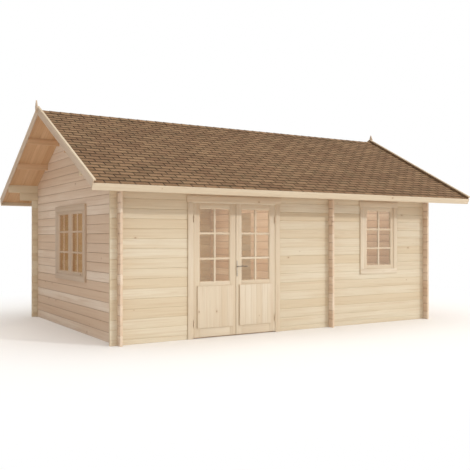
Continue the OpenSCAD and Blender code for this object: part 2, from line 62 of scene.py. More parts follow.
# Light: the way to the sun, its spread and level, the sky's tint and its levels at the horizon, towards
# the sun and overhead, what mirrors show in front and behind with the Y of a ray where that changes, and
# the room lamps with their colour, their watts for each square metre and their share of the floor's sides
TO_SUN = Vector((0.568, -0.728, 0.383))
SUN_SPREAD = math.radians(1.6)
SUN_LEVEL = 0.96
SKY_TINT = (1.0, 0.977, 0.95)
SKY_LEVEL = 0.3
SKY_SUNWARD = 0.27
SKY_OVERHEAD = 1.5
MIRRORED_FRONT = (1.22, 1.17, 1.1, 1.0)
MIRRORED_BACK = (0.17, 0.06, 0.01, 1.0)
MIRROR_TURN = -0.4, 0.4
ROOM_LIGHT = (0.96, 0.845, 0.715)
ROOM_WATTS = {"main_room_floor": 8.3, "side_room_floor": 7.4}
LAMP_SHARE = 0.7

# The floor round the chalet: its radius, its colour, the distances between which it turns white, the shares
# of X and Y in them, and the Y where what mirrors show of it changes
FLOOR_R = 80.0
FLOOR_COLOUR = (0.93, 0.92, 0.905, 1.0)
FLOOR_FADE = 3.0, 7.5
FLOOR_SHARES = (0.85, 1.0, 0.0)
FLOOR_TURN = -2.0, 0.0
WHITE = (1.0, 1.0, 1.0, 1.0)

# Boards, in metres: widths, V joints, gaps and the rounding of edges
ROOF_BOARD_W = 0.095
FLOOR_BOARD_W = 0.095
PANEL_BOARD_W = 0.096
V_JOINT = 0.003
PANEL_JOINT = 0.0018
FLOOR_GAP = 0.0004
THRESHOLD_GAP = 0.001
DOOR_FRAME_GAP = 0.003
LOG_BEVEL = 0.0012
BOARD_BEVEL = 0.002
CASING_BEVEL = 0.004
FLOOR_BEVEL = 0.0015
PANEL_BEVEL = 0.0008
EDGE_BEVEL = 0.0004

# Shingles, in metres: rows and tabs, how far a tab's points lie apart and stray, how far the strip under each
# row stays back, and how high a tab's upper edge lies, in thicknesses
SHINGLE_ROW = 0.1
SHINGLE_T = 0.004
ROW_COVER = 1.35
TAB_W = 0.2
TAB_SLOT = 0.014
FIRST_SLOT = 0.147
LEAST_TAB = 0.02
TAB_POINTS = 0.07
TAB_SAG = 0.0015
TAB_FRAY = 0.0025
TAB_DROP = -0.004, 0.001
STRIP_BACK = 0.004
TAB_BASE = 0.6

# Cap shingles, with their lift in thicknesses, their bend's half width and how dark their ends are, that
# darkness being painted shade where the next cap lies on them, and upstands with their gaps at the ends and
# below the barge boards' top, and their tone. A corner of those boards belongs to a slope if its Y adds more
# than the last value to its height over it.
CAP_STEP = 0.16
CAP_COVER = 1.35
CAP_FRAY = 0.004
CAP_LIFT = 1.6
CAP_BEND = 0.02
CAP_END_SHADE = 0.0, 0.9
UPSTAND_T = 0.003
UPSTAND_ENDS = 0.004, 0.002
UPSTAND_DROP = 0.001
UPSTAND_TONE = 0.5
SLOPE_SIDE = 0.3

# Glazing bars: the heights of the level ones as shares of a light, their width, and their depth as a share
# of the way from the glass to the face. Their sides lean in by a share of the width, and the level ones are
# a little less deep. A bead's outline is in shares of its width and of that way.
FRONT_BARS = (0.315, 0.66), 0.032, 0.86
GABLE_BARS = (0.335, 0.69), 0.026, 0.36
BAR_LEAN = 0.14
LEVEL_BAR_DEEP = 0.93
BEAD_W = 0.007
BEAD_OUTLINE = (0.0, 0.0), (1.0, 0.0), (0.8, 0.45), (0.35, 0.8), (0.0, 0.86)
SLIP = 0.0006
SASH_GAP = 0.0003
MEETING_GAP = 0.002

# The handle's plates, and turned parts as radius and distance outwards, with the sides of their rings
PLATE_INSET = 0.003
PLATE_RIM = (1.0, 0.0), (1.0, 0.6), (0.93, 0.9), (0.82, 1.0)
PLATE_ARC = 12
SCREW_FROM_END = 0.018
SCREW = (0.0042, -0.001), (0.0042, 0.0004), (0.003, 0.0011), (0.001, 0.0013)
COLLAR = (0.0104, -0.001), (0.0104, 0.002), (0.0098, 0.003), (0.0086, 0.003)
KEYHOLE_BELOW = 0.075
TURNED_SIDES = 24
SCREW_SIDES = 12
KEYHOLE = (0.0075, -0.001), (0.0075, 0.0012), (0.0066, 0.0018), (0.0045, 0.0018), (0.0042, 0.0006)

# The lever: its spindle's tips and its grips, as shares of their radius, at distances from the ends or, at
# the grips' start, shares of the reach
SPINDLE_TIP = (0.6, 0.0), (0.9, 0.0012), (0.98, 0.004)
GRIP_START = (0.86, 0.0), (0.8, 0.25), (0.82, 0.6)
GRIP_END = (0.9, 0.012), (0.78, 0.004), (0.4, 0.0)

# Mesh limits: welding distance in metres, and angles for whole faces, rounded edges and smooth shading
WELD = 1e-5
FLAT_ANGLE = math.radians(0.5)
ROUNDED_ANGLE = math.radians(40)
SMOOTH_ANGLE = math.radians(35)


def ink(red, green, blue):
    """A screen colour in steps of 0 to 255, as linear light."""
    shares = [step / 255 for step in (red, green, blue)]
    return (*[((s + 0.055) / 1.055) ** 2.4 if s > 0.04 else s / 12.92 for s in shares], 1.0)


class Graph:
    """The nodes of a material or world, joined from plain values or from other nodes' outputs."""

    def __init__(self, owner, output="OutputMaterial"):
        owner.use_nodes = True
        self.owner = owner
        self.tree = owner.node_tree
        self.tree.nodes.clear()
        self.output = self.node(output)

    def feed(self, socket, value):
        if isinstance(value, bpy.types.NodeSocket):
            self.tree.links.new(value, socket)
        else:
            socket.default_value = value

    def node(self, kind, inputs=None, **settings):
        made = self.tree.nodes.new("ShaderNode" + kind)
        for key, value in settings.items():
            setattr(made, key, value)
        for key, value in (inputs or {}).items():
            self.feed(made.inputs[key], value)
        return made

    def math(self, operation, a, b=0.0):
        return self.node("Math", {0: a, 1: b}, operation=operation).outputs[0]

    def vector(self, operation, a, b=(0.0, 0.0, 0.0)):
        made = self.node("VectorMath", {0: a, 1: b}, operation=operation)
        return made.outputs["Value" if operation in ("LENGTH", "DOT_PRODUCT") else "Vector"]

    def mix(self, share, a, b):
        return self.node("Mix", {0: share, 6: a, 7: b}, data_type="RGBA").outputs[2]

    def rise(self, value, low, high, start=0.0, end=1.0):
        """A smooth step from start, below low, to end, above high."""
        inputs = {"Value": value, "From Min": low, "From Max": high, "To Min": start, "To Max": end}
        return self.node("MapRange", inputs, interpolation_type="SMOOTHSTEP").outputs["Result"]

    def noise(self, vector, detail=2.0, roughness=0.5):
        inputs = {"Vector": vector, "Scale": 1.0, "Detail": detail, "Roughness": roughness}
        return self.node("TexNoise", inputs).outputs["Fac"]

    def attribute(self, name, output):
        return self.node("Attribute", attribute_name=name).outputs[output]

    def bump(self, height, strength, distance):
        inputs = {"Height": height, "Strength": strength, "Distance": distance}
        return self.node("Bump", inputs).outputs["Normal"]

    def finish(self, shader):
        self.tree.links.new(shader.outputs[0], self.output.inputs["Surface"])
        return self.owner


# Grain of spruce in metres: the cell that may hold one knot, the knots' radii, how round they are, the draw
# above which a cell has one, where in radii a knot and its halo fade, the rings' spacing, how far they
# wander, how many rings a knot bends, and the part of a ring's wave that is late wood
KNOT_CELL = (0.52, 0.11, 0.3)
KNOT_SIZES = 0.004, 0.013
KNOT_ROUND = (0.72, 1.0, 0.0)
KNOT_DRAW = 0.88, 0.9
KNOT_RIM = 0.75, 1.15
HALO_RIM = 1.0, 3.6
RING_PITCH = 0.0046
RING_WANDER = 0.022
RING_BEND = 2.2
LATE_WOOD = 0.1, 1.0

# Noise in the grain, in waves for each metre along and across it
WANDER_WAVES = (0.9, 8.0, 8.0)
STREAK_WAVES = (0.8, 34.0, 34.0)
PATCH_WAVES = (0.9, 5.0, 5.0)
FIBRE_WAVES = (16.0, 900.0, 900.0)

# How strongly each mark of the grain colours the wood, from 0 to 1: for noise, the levels between which it
# rises and the shares at both
PATCH_RISE = 0.36, 0.68, 0.0, 0.55
STREAK_RISE = 0.45, 0.75, 0.0, 0.42
FIBRE_RISE = 0.3, 0.7, 0.0, 0.1
RING_SHARE = 0.2
HALO_SHARE = 0.25
KNOT_SHARE = 0.55
END_SHARE = 0.3

# Surface of spruce: its roughness as rings and streaks grow, and the strength and depth of its bumps
SPRUCE_ROUGH = 0.2, 1.6, 0.66, 0.5
SPRUCE_BUMP = 0.3, 0.0004


def spruce(name, pale, warm, late, knot, end, groove_shade=0.0):
    """Planed spruce: rings round a pith beside each board, streaks, knots, end grain, a tone of its own
    and, by its last share, painted shade that darkens the chamfers in the grooves."""
    g = Graph(bpy.data.materials.new(name))
    grain = g.attribute("grain", "Vector")
    tone = g.attribute("tone", "Fac")
    at_end = g.attribute("end_grain", "Fac")

    cells = g.node("TexVoronoi", {"Vector": g.vector("DIVIDE", grain, KNOT_CELL), "Scale": 1.0})
    chance = g.node("SeparateColor", {0: cells.outputs["Color"]})
    middle = g.vector("MULTIPLY", cells.outputs["Position"], KNOT_CELL)
    away = g.vector("MULTIPLY", g.vector("SUBTRACT", grain, middle), KNOT_ROUND)
    near = g.vector("LENGTH", away)
    size = g.rise(chance.outputs[0], 0.0, 1.0, *KNOT_SIZES)
    present = g.rise(chance.outputs[1], *KNOT_DRAW)
    reach = g.math("DIVIDE", near, size)
    spot = g.math("MULTIPLY", g.rise(reach, *KNOT_RIM, 1.0, 0.0), present)
    halo = g.math("MULTIPLY", g.rise(reach, *HALO_RIM, 1.0, 0.0), present)

    warp = g.noise(g.vector("MULTIPLY", grain, WANDER_WAVES), 3.0)
    across = g.vector("MULTIPLY", grain, (0.0, 1.0, 1.0))
    radius = g.math("ADD", g.vector("LENGTH", across), g.math("MULTIPLY", warp, RING_WANDER))
    phase = g.math("ADD", g.math("DIVIDE", radius, RING_PITCH), g.math("MULTIPLY", halo, RING_BEND))
    wave = g.math("SINE", g.math("MULTIPLY", phase, math.tau))
    ring = g.rise(wave, *LATE_WOOD)

    streak = g.noise(g.vector("MULTIPLY", grain, STREAK_WAVES), 4.0, 0.6)
    patch = g.noise(g.vector("MULTIPLY", grain, PATCH_WAVES), 2.0)
    fibre = g.noise(g.vector("MULTIPLY", grain, FIBRE_WAVES), 2.0)

    colour = g.mix(g.rise(tone, 0.0, 1.0), pale, warm)
    colour = g.mix(g.rise(patch, *PATCH_RISE), colour, warm)
    colour = g.mix(g.rise(streak, *STREAK_RISE), colour, late)
    colour = g.mix(g.math("MULTIPLY", ring, RING_SHARE), colour, late)
    colour = g.mix(g.math("MULTIPLY", halo, HALO_SHARE), colour, late)
    colour = g.mix(g.math("MULTIPLY", spot, KNOT_SHARE), colour, knot)
    colour = g.mix(g.math("MULTIPLY", at_end, END_SHARE), colour, end)
    colour = g.mix(g.rise(fibre, *FIBRE_RISE), colour, late)
    # Painted shade in the grooves: the chamfer faces pulled towards the knot colour.
    colour = g.mix(g.math("MULTIPLY", g.attribute("chamfer", "Fac"), groove_shade), colour, knot)

    height = g.math("ADD", g.math("MULTIPLY", ring, 0.5), g.math("MULTIPLY", fibre, 0.5))
    rough = g.rise(g.math("ADD", ring, streak), *SPRUCE_ROUGH)
    return g.finish(g.node("BsdfPrincipled", {
        "Base Color": colour, "Roughness": rough, "Normal": g.bump(height, *SPRUCE_BUMP)}))


# Shingles: granules and blotches for each metre, the colours that tabs lie between, the coats over them as
# what they follow, its levels with the coat's shares at both, and the colour, the coat of bare edges, the
# roughness as granules grow, and the strength and depth of their bumps
GRIT = 420.0
BLOTCHES = (5.0, 5.0, 5.0)
TAB_COLOURS = ink(156, 123, 88), ink(127, 95, 64)
COATS = (("blotch", (0.3, 0.5, 0.5, 0.0), ink(123, 103, 71)),
         ("blotch", (0.5, 0.72, 0.0, 0.5), ink(136, 97, 67)),
         ("speck", (0.62, 0.95, 0.0, 0.62), ink(66, 49, 33)),
         ("speck", (0.0, 0.2, 0.35, 0.0), ink(166, 143, 113)),
         # The two coats that follow the band darken as a printed band that is also painted shade: under the row
         # above, in the slots between tabs and where the next cap covers a cap.
         ("print_and_shade", (0.46, 0.76, 0.0, 0.74), ink(52, 37, 24)),
         ("print_and_shade", (0.9, 1.0, 0.0, 0.8), ink(38, 26, 17)))
EDGE_SHARE = 0.7
EDGE_COLOUR = ink(48, 37, 27)
GRIT_ROUGH = 0.0, 1.0, 0.95, 0.8
GRIT_BUMP = 0.5, 0.0012


def shingle_brown(name):
    """Mineral granules on bitumen with bare black edges, darker towards the top of each tab: a printed band that
    is also painted shade under the row above, with painted shade in the slots.
    """
    g = Graph(bpy.data.materials.new(name))
    place = g.node("TexCoord").outputs["Object"]
    tone = g.attribute("tone", "Fac")
    print_and_shade = g.attribute("print_and_shade", "Fac")
    edge = g.attribute("end_grain", "Fac")
    grit = g.node("TexVoronoi", {"Vector": place, "Scale": GRIT})
    speck = g.node("SeparateColor", {0: grit.outputs["Color"]}).outputs[0]
    blotch = g.noise(g.vector("MULTIPLY", place, BLOTCHES), 4.0, 0.65)
    follows = {"blotch": blotch, "speck": speck, "print_and_shade": print_and_shade}
    colour = g.mix(tone, *TAB_COLOURS)
    for key, levels, coat in COATS:
        colour = g.mix(g.rise(follows[key], *levels), colour, coat)
    colour = g.mix(g.math("MULTIPLY", edge, EDGE_SHARE), colour, EDGE_COLOUR)
    return g.finish(g.node("BsdfPrincipled", {
        "Base Color": colour, "Roughness": g.rise(speck, *GRIT_ROUGH),
        "Normal": g.bump(grit.outputs["Distance"], *GRIT_BUMP)}))


# Metal: its brushing and dull patches for each metre, the levels between which a patch grows dark and rough,
# how much rougher it is there, and the strength and depth of the brushing
BRUSHING = (60.0, 60.0, 1400.0)
PATCHES = (45.0, 45.0, 45.0)
DARK_PATCH = 0.35, 0.7
ROUGH_PATCH = 0.3, 0.7
PATCH_ROUGHER = 0.18
BRUSH_BUMP = 0.12, 0.0004


def metal(name, bright, dark, rough, metallic):
    """Rolled metal with faint brushing and dull patches."""
    g = Graph(bpy.data.materials.new(name))
    place = g.node("TexCoord").outputs["Object"]
    brushed = g.noise(g.vector("MULTIPLY", place, BRUSHING), 3.0, 0.6)
    dull = g.noise(g.vector("MULTIPLY", place, PATCHES), 4.0, 0.65)
    colour = g.mix(g.rise(dull, *DARK_PATCH), bright, dark)
    surface = g.node("BsdfPrincipled", {
        "Base Color": colour, "Roughness": g.rise(dull, *ROUGH_PATCH, rough, rough + PATCH_ROUGHER),
        "Normal": g.bump(brushed, *BRUSH_BUMP)})
    surface.inputs["Metallic"].default_value = metallic
    return g.finish(surface)


# Glass: its refraction, its tint, its waves for each metre with their strength and depth, its roughness, and
# how many times the sheen of one face a pane has
GLASS_IOR = 1.5
GLASS_TINT = (0.93, 0.945, 0.935, 1.0)
GLASS_WAVES = (3.0, 3.0, 3.0)
GLASS_BUMP = 0.05, 0.01
GLASS_ROUGH = 0.02
GLASS_FACES = 1.9


def window_glass(name):
    """Thin float glass: clear, with faint waves and the sheen of both its faces, which grows at a slant."""
    g = Graph(bpy.data.materials.new(name))
    place = g.node("TexCoord").outputs["Object"]
    waves = g.noise(g.vector("MULTIPLY", place, GLASS_WAVES), 1.0)
    normal = g.bump(waves, *GLASS_BUMP)
    clear = g.node("BsdfTransparent", {"Color": GLASS_TINT})
    mirror = g.node("BsdfGlossy", {"Color": WHITE, "Roughness": GLASS_ROUGH, "Normal": normal})
    outside = g.math("SUBTRACT", 1.0, g.node("NewGeometry").outputs["Backfacing"])
    one_face = g.node("Fresnel", {"IOR": GLASS_IOR, "Normal": normal}).outputs[0]
    share = g.math("MULTIPLY", one_face, g.math("MULTIPLY", outside, GLASS_FACES))
    share = g.math("MINIMUM", share, 1.0)
    return g.finish(g.node("MixShader", {0: share, 1: clear.outputs[0], 2: mirror.outputs[0]}))


LOG = spruce("log_spruce", ink(225, 214, 191), ink(215, 198, 169), ink(194, 165, 128),
             ink(142, 100, 68), ink(228, 206, 172))
# A lighter copy of the log spruce for the gables and the partition: painted light that lifts their shaded faces,
# with painted shade darkening their chamfers.
LIGHTENED_LOG = spruce("gable_spruce_lightened", ink(240, 225, 207), ink(222, 197, 172), ink(201, 166, 136),
               ink(138, 97, 67), ink(232, 210, 178), 0.5)
TRIM = spruce("trim_spruce", ink(225, 212, 190), ink(216, 199, 173), ink(196, 167, 133),
              ink(146, 104, 72), ink(196, 162, 122))
# A darker copy of the trim spruce for the barge boards, finials and gable window: painted shade where they catch
# more light than the walls.
DARKENED_TRIM = spruce("edge_spruce_darkened", ink(213, 194, 175), ink(204, 183, 160), ink(183, 154, 124),
              ink(134, 95, 66), ink(180, 149, 112))
# A darker, warmer spruce for the soffit boards, purlins, joists and threshold: painted shade and warm bounce
# light, drawn for the soffit under the eaves.
SHADED_BOARD = spruce("board_spruce", ink(217, 180, 141), ink(199, 157, 115), ink(168, 121, 83),
               ink(120, 76, 46), ink(174, 130, 89))
SHINGLE = shingle_brown("shingle")
STEEL = metal("hinge_steel", ink(228, 208, 182), ink(206, 186, 160), 0.5, 0.1)
NICKEL = metal("plate_metal", ink(196, 186, 172), ink(158, 149, 138), 0.34, 0.8)
LEVER = metal("lever_metal", ink(138, 130, 119), ink(104, 97, 89), 0.34, 0.8)
PANE = window_glass("pane")


def smooth_object(name, mesh, material):
    """A new object for a finished mesh, smooth except at its sharp edges."""
    mesh.materials.append(material)
    mesh.shade_smooth()
    mesh.set_sharp_from_angle(angle=SMOOTH_ANGLE)
    made = bpy.data.objects.new(name, mesh)
    bpy.context.scene.collection.objects.link(made)
    return made


def stand_in(piece, slot, *nodes, body=None):
    """Ties a piece to its body, and shows it in the place of these nodes. The slot is not used."""
    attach(piece, body or BODY_OF[nodes[0]])
    if nodes:
        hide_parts(*nodes)


# Draws for each board: where it lies along the grain, and where its pith lies across and behind it
PITH_DRAWS = (0, 60), (-0.06, 0.06), (0.02, 0.09)
# A face is end grain where its normal is nearly along the grain, a chamfer where it leans to two sides, and
# the top of a slope where it looks up. A timber is a post where its grain is nearly upright.
END_COSINE = 0.8
CHAMFER_COSINE = 0.3
TOP_COSINE = 0.5
POST_COSINE = 0.9


class Timber:
    """Boards gathered into one mesh, each with its own grain, tone and end grain."""

    def __init__(self, seed):
        self.draw = random.Random(seed)
        self.verts = []
        self.faces = []
        self.grain = []
        self.tone = []
        self.ends = []
        self.chamfers = []

    def add(self, bm, place, bevel=0.0):
        """Takes in a closed piece. The columns of place are the directions along the grain, across the
        board and through it, and its origin is the middle of the board."""
        bmesh.ops.recalc_face_normals(bm, faces=bm.faces)
        if bevel:
            soften(bm, bevel)
        bm.verts.index_update()
        to_board = place.inverted()
        shift = Vector([self.draw.uniform(low, high) for low, high in PITH_DRAWS])
        tone = self.draw.random()
        first = len(self.verts)
        along, across, through = [place.col[i].to_3d() for i in range(3)]
        for vert in bm.verts:
            self.verts.append(vert.co.copy())
            self.grain.append(to_board @ vert.co + shift)
            self.tone.append(tone)
        for face in bm.faces:
            self.faces.append([first + vert.index for vert in face.verts])
            self.ends.append(1.0 if abs(face.normal.dot(along)) > END_COSINE else 0.0)
            lean = min(abs(face.normal.dot(across)), abs(face.normal.dot(through)))
            self.chamfers.append(1.0 if lean > CHAMFER_COSINE else 0.0)
        bm.free()

    def board(self, low, high, axis, bevel=BOARD_BEVEL):
        """A straight board between two corners, with its grain along that axis."""
        low, high = Vector(low), Vector(high)
        bm = bmesh.new()
        bmesh.ops.create_cube(bm, size=1.0)
        size = high - low
        bm.transform(Matrix.Translation((low + high) / 2) @ Matrix.Diagonal(size).to_4x4())
        others = sorted([i for i in range(3) if i != axis], key=lambda i: -size[i])
        self.add(bm, axes_frame((low + high) / 2, unit(axis), unit(others[0])), bevel)

    def bar(self, outline, length, place, mitre=0.0, bevel=0.0):
        """A bar along place's first axis, with its outline in the other two and its ends cut at a mitre."""
        bm = bmesh.new()
        near = [bm.verts.new((mitre * y, y, z)) for y, z in outline]
        far = [bm.verts.new((length - mitre * y, y, z)) for y, z in outline]
        bm.faces.new(near)
        bm.faces.new(far[::-1])
        for i, start in enumerate(near):
            j = (i + 1) % len(outline)
            bm.faces.new((start, far[i], far[j], near[j]))
        bm.transform(place)
        middle = Vector((length / 2, *[sum(p[k] for p in outline) / len(outline) for k in (0, 1)]))
        centred = place.copy()
        centred.translation = place @ middle
        self.add(bm, centred, bevel)

    def piece(self, name, material):
        mesh = bpy.data.meshes.new(name)
        mesh.from_pydata(self.verts, [], self.faces)
        put(mesh, "grain", "FLOAT_VECTOR", "POINT", "vector", [c for v in self.grain for c in v])
        put(mesh, "tone", "FLOAT", "POINT", "value", self.tone)
        put(mesh, "end_grain", "FLOAT", "FACE", "value", self.ends)
        put(mesh, "chamfer", "FLOAT", "FACE", "value", self.chamfers)
        return smooth_object(name, mesh, material)


def put(mesh, name, kind, domain, field, values):
    mesh.attributes.new(name, kind, domain).data.foreach_set(field, values)


def unit(axis):
    return Vector([1.0 if i == axis else 0.0 for i in range(3)])


def axes_frame(origin, along, across):
    """A frame with these two directions and the one square to both."""
    columns = (along, across, along.cross(across))
    turned = Matrix([[c[i] for c in columns] for i in range(3)]).to_4x4()
    return Matrix.Translation(origin) @ turned


def soften(bm, width):
    """Rounds every sharp edge."""
    sharp = [e for e in bm.edges if len(e.link_faces) == 2 and e.calc_face_angle(0.0) > ROUNDED_ANGLE]
    bmesh.ops.bevel(bm, geom=sharp, offset=width, segments=2, profile=0.5, affect="EDGES",
                    clamp_overlap=True)


def solids(node):
    """The separate solids of a node, each as a mesh of whole flat faces."""
    whole = bmesh.new()
    whole.from_mesh(NODES[node].data)
    bmesh.ops.remove_doubles(whole, verts=whole.verts, dist=WELD)
    bmesh.ops.dissolve_limit(whole, angle_limit=FLAT_ANGLE, verts=whole.verts, edges=whole.edges)
    left = set(whole.verts)
    found = []
    while left:
        start = min(left, key=lambda v: v.index)
        group, todo = {start}, [start]
        while todo:
            for edge in todo.pop().link_edges:
                for vert in edge.verts:
                    if vert not in group:
                        group.add(vert)
                        todo.append(vert)
        left -= group
        part = bmesh.new()
        copies = {v: part.verts.new(v.co) for v in sorted(group, key=lambda v: v.index)}
        for face in sorted({f for v in group for f in v.link_faces}, key=lambda f: f.index):
            part.faces.new([copies[v] for v in face.verts])
        found.append(part)
    whole.free()
    return found


def solid_boxes(node):
    """Lowest and highest corners of each solid of a node."""
    boxes = []
    for bm in solids(node):
        boxes.append((corner(bm, min), corner(bm, max)))
        bm.free()
    return boxes


def corner(bm, pick):
    return Vector([pick(v.co[i] for v in bm.verts) for i in range(3)])


def grain_frame(bm):
    """Frame of a solid's grain: along its longest edge, then across its wider side."""
    edge = max(bm.edges, key=lambda e: e.calc_length())
    along = (edge.verts[1].co - edge.verts[0].co).normalized()
    upright = unit(2) if abs(along.z) < POST_COSINE else unit(0)
    across = (upright - along * upright.dot(along)).normalized()
    through = along.cross(across)

    def extent(way):
        spread = [v.co.dot(way) for v in bm.verts]
        return max(spread) - min(spread)

    if extent(across) < extent(through):
        across = through
    middle = sum((v.co for v in bm.verts), Vector()) / len(bm.verts)
    return axes_frame(middle, along, across)


def dress(material, slot, bevel, *nodes):
    """Shows nodes of plain timbers as softened boards, each solid with its own grain."""
    for node in nodes:
        timber = Timber(node)
        for bm in solids(node):
            timber.add(bm, grain_frame(bm), bevel)
        stand_in(timber.piece(node + "_timber", material), slot, node)


dress(LOG, "log_spruce", LOG_BEVEL, "front_wall_left", "front_wall_right", "front_wall_top", "back_wall")
dress(LIGHTENED_LOG, "log_spruce", LOG_BEVEL, "left_gable_wall", "right_gable_wall", "left_gable_peak",
      "right_gable_peak", "partition_wall", "partition_sill")
dress(SHADED_BOARD, "board_spruce", BOARD_BEVEL, "ridge_purlin", "front_purlins", "rear_purlins", "floor_joists",
      "door_threshold")
dress(DARKENED_TRIM, "trim_spruce", BOARD_BEVEL, "left_barge_boards", "right_barge_boards", "left_finial",
      "right_finial", "gable_window_casing")
dress(TRIM, "trim_spruce", BOARD_BEVEL, "left_barge_strips", "right_barge_strips", "front_fascia",
      "rear_fascia", "door_frame", "door_stops", "door_casing", "meeting_strip")
dress(TRIM, "trim_spruce", CASING_BEVEL, "front_window_casing")


class Slope:
    """Frame of one roof slope: along the ridge, down the slope and square to it."""

    def __init__(self, node):
        mesh = NODES[node].data
        self.up = max(mesh.polygons, key=lambda p: p.area if p.normal.z > TOP_COSINE else 0.0).normal.copy()
        self.down = Vector((0.0, math.copysign(self.up.z, self.up.y), -abs(self.up.y)))
        heights = [self.up.dot(v.co) for v in mesh.vertices]
        self.bottom, self.top = min(heights), max(heights)
        self.foot = max(self.down.dot(v.co) for v in mesh.vertices)
        low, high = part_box(node)
        self.x0, self.x1 = low.x, high.x
        self.apex = Vector((0.0, 0.0, self.bottom / self.up.z))
        self.length = self.foot - self.down.dot(self.apex)

    def at(self, x, q, n):
        """Point at x along the ridge, q down from it and n above the underside."""
        return Vector((x, 0.0, 0.0)) + self.apex + self.down * q + self.up * n


def roof_boards(side):
    """Grooved boards from ridge to eave."""
    node = side + "_roof_boards"
    slope = Slope(node)
    timber = Timber(node)
    thick = slope.top - slope.bottom
    count = round((slope.x1 - slope.x0) / ROOF_BOARD_W)
    wide = (slope.x1 - slope.x0) / count
    v = V_JOINT
    outline = [(0, v), (v, 0), (wide - v, 0), (wide, v), (wide, thick), (0, thick)]
    for i in range(count):
        place = Matrix.Translation(slope.at(slope.x0 + i * wide, 0.0, 0.0))
        place = place @ Matrix([[slope.down[k], unit(0)[k], slope.up[k]] for k in range(3)]).to_4x4()
        timber.bar(outline, slope.length, place)
    stand_in(timber.piece(side + "_soffit_boards", SHADED_BOARD), "board_spruce", node)


class Sheets:
    """Thin pieces gathered into one mesh, with a tone each, a printed band that also carries painted shade, and
    marked edges.
    """

    def __init__(self, seed):
        self.draw = random.Random(seed)
        self.verts = []
        self.faces = []
        self.tone = []
        self.print_and_shade = []
        self.edges = []

    def strip(self, rows, print_shade_levels, tone):
        """Skin through rows of points, closed round each row. Only the first face of each ring is no edge."""
        first = len(self.verts)
        around = len(rows[0])
        for row in rows:
            self.verts.extend(row)
            self.print_and_shade.extend(print_shade_levels)
            self.tone.extend([tone] * around)
        for i in range(len(rows) - 1):
            for j in range(around):
                a = first + i * around + j
                b = first + i * around + (j + 1) % around
                self.faces.append([a, b, b + around, a + around])
                self.edges.append(0.0 if j == 0 else 1.0)
        self.faces.append([first + j for j in range(around)][::-1])
        last = first + (len(rows) - 1) * around
        self.faces.append([last + j for j in range(around)])
        self.edges.extend([1.0, 1.0])

    def bent(self, rows, print_shade_levels, tone):
        """Bent sheet between two rows of points, each along its outer face and back along its inner one."""
        first = len(self.verts)
        around = len(rows[0])
        half = around // 2
        for row, print_and_shade in zip(rows, print_shade_levels):
            self.verts.extend(row)
            self.print_and_shade.extend([print_and_shade] * around)
            self.tone.extend([tone] * around)
        for j in range(around):
            k = (j + 1) % around
            self.faces.append([first + j, first + k, first + around + k, first + around + j])
            self.edges.append(0.0 if j < half - 1 else 1.0)
        for start in (first, first + around):
            for j in range(half - 1):
                self.faces.append([start + j, start + j + 1, start + around - 2 - j, start + around - 1 - j])
                self.edges.append(1.0)

    def piece(self, name, material):
        mesh = bpy.data.meshes.new(name)
        mesh.from_pydata(self.verts, [], self.faces)
        bm = bmesh.new()
        bm.from_mesh(mesh)
        bmesh.ops.recalc_face_normals(bm, faces=bm.faces)
        bm.to_mesh(mesh)
        bm.free()
        put(mesh, "tone", "FLOAT", "POINT", "value", self.tone)
        put(mesh, "print_and_shade", "FLOAT", "POINT", "value", self.print_and_shade)
        put(mesh, "end_grain", "FLOAT", "FACE", "value", self.edges)
        return smooth_object(name, mesh, material)


def shingle_tab(sheets, slope, x0, x1, q0, q1, base, lift):
    """One tab from its upper edge at q0 to its lower edge at q1, lying up on the row below."""
    steps = max(2, round((x1 - x0) / TAB_POINTS))
    sag = [sheets.draw.uniform(-TAB_SAG, TAB_SAG) for _ in range(steps + 1)]
    ragged = [sheets.draw.uniform(-TAB_FRAY, TAB_FRAY) for _ in range(steps + 1)]
    rows = []
    for i in range(steps + 1):
        x = x0 + (x1 - x0) * i / steps
        low = base + lift + sag[i]
        foot = q1 + ragged[i]
        rows.append([slope.at(x, q0, base + SHINGLE_T), slope.at(x, foot, low + SHINGLE_T),
                     slope.at(x, foot, low), slope.at(x, q0, base)])
    # Darker towards the upper edge: a printed band with painted shade under the row above.
    sheets.strip(rows, (1.0, 0.0, 0.0, 1.0), sheets.draw.random())


def shingles(side):
    """Rows of equal tabs, each row half a tab off the last, on strips that close the slots between them."""
    node = side + "_shingles"
    slope = Slope(node)
    sheets = Sheets(node)
    rows = math.ceil(slope.length / SHINGLE_ROW)
    for row in range(rows):
        foot = slope.length - row * SHINGLE_ROW
        head = max(foot - SHINGLE_ROW * ROW_COVER, 0.0)
        under = 0.0 if row == 0 else SHINGLE_T
        edge = foot - STRIP_BACK
        strip = [[slope.at(x, head, SHINGLE_T / 2), slope.at(x, edge, under + SHINGLE_T),
                  slope.at(x, edge, under), slope.at(x, head, 0.0)] for x in (slope.x0, slope.x1)]
        # The strip under each row gets the darkest band and the darker tab colour: painted shade in the slots.
        sheets.strip(strip, (1.0, 1.0, 1.0, 1.0), 1.0)
        x = slope.x0 + FIRST_SLOT - TAB_W * (1 + row % 2 / 2)
        while x < slope.x1:
            start = max(x + TAB_SLOT / 2, slope.x0)
            end = min(x + TAB_W - TAB_SLOT / 2, slope.x1)
            drop = sheets.draw.uniform(*TAB_DROP)
            if end - start > LEAST_TAB:
                base, lift = SHINGLE_T * TAB_BASE, under + SHINGLE_T / 2
                shingle_tab(sheets, slope, start, end, head, foot + drop, base, lift)
            x += TAB_W
    stand_in(sheets.piece(side + "_shingle_tabs", SHINGLE), "shingle", node)


